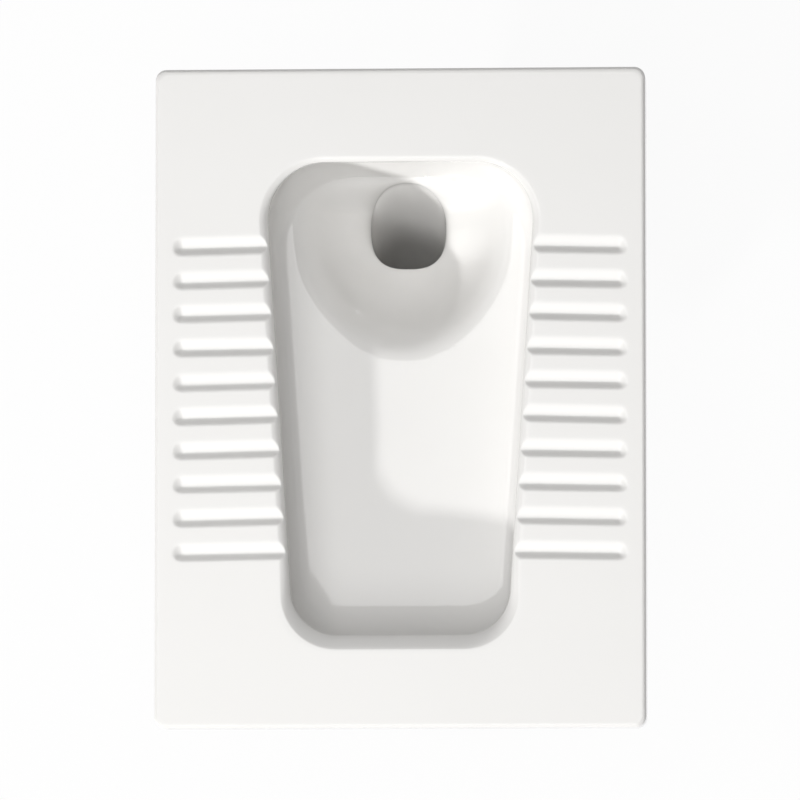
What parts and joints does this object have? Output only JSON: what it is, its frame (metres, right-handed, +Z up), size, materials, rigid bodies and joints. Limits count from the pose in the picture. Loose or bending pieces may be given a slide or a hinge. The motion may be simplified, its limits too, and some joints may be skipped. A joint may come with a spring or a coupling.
{
  "type": "squat toilet",
  "caption": "Rectangular floor-set squat toilet with tapered bowl, rear drain, cast trap, grooved treads, rubber flush inlet cone with hose clips, and push-fit outlet connector.",
  "frame": {"origin": "centre of the foot plate seen from above, on the surface that the pan stands on", "axes": "+Z up; +Y towards the drain end of the pan; +X to the right when looking from the shallow end towards the drain"},
  "size_m": [0.446, 0.6, 0.3],
  "materials": {
    "china": "glossy white glaze",
    "rubber": "matt black moulded rubber",
    "seal_rubber": "satin black moulded rubber",
    "clip_steel": "rolled stainless strip",
    "screw_steel": "turned stainless steel",
    "connector_plastic": "satin white moulded plastic"
  },
  "bodies": {
    "root": {"pan": "china", "flush_cone": "rubber", "boss_clip_band": "clip_steel", "boss_clip_housing": "clip_steel", "pipe_clip_band": "clip_steel", "pipe_clip_housing": "clip_steel", "connector_seal": "seal_rubber", "outlet_connector": "connector_plastic"},
    "boss_screw": {"boss_clip_screw": "screw_steel"},
    "pipe_screw": {"pipe_clip_screw": "screw_steel"}
  },
  "joints": [
    {"name": "boss_screw_turn", "type": "hinge", "parent": "root", "child": "boss_screw", "pos_m": [0.037, -0.264, 0.236], "axis": [0, 0, 1], "continuous": true},
    {"name": "pipe_screw_turn", "type": "hinge", "parent": "root", "child": "pipe_screw", "pos_m": [0.0288, -0.288, 0.236], "axis": [0, 0, 1], "continuous": true}
  ]
}
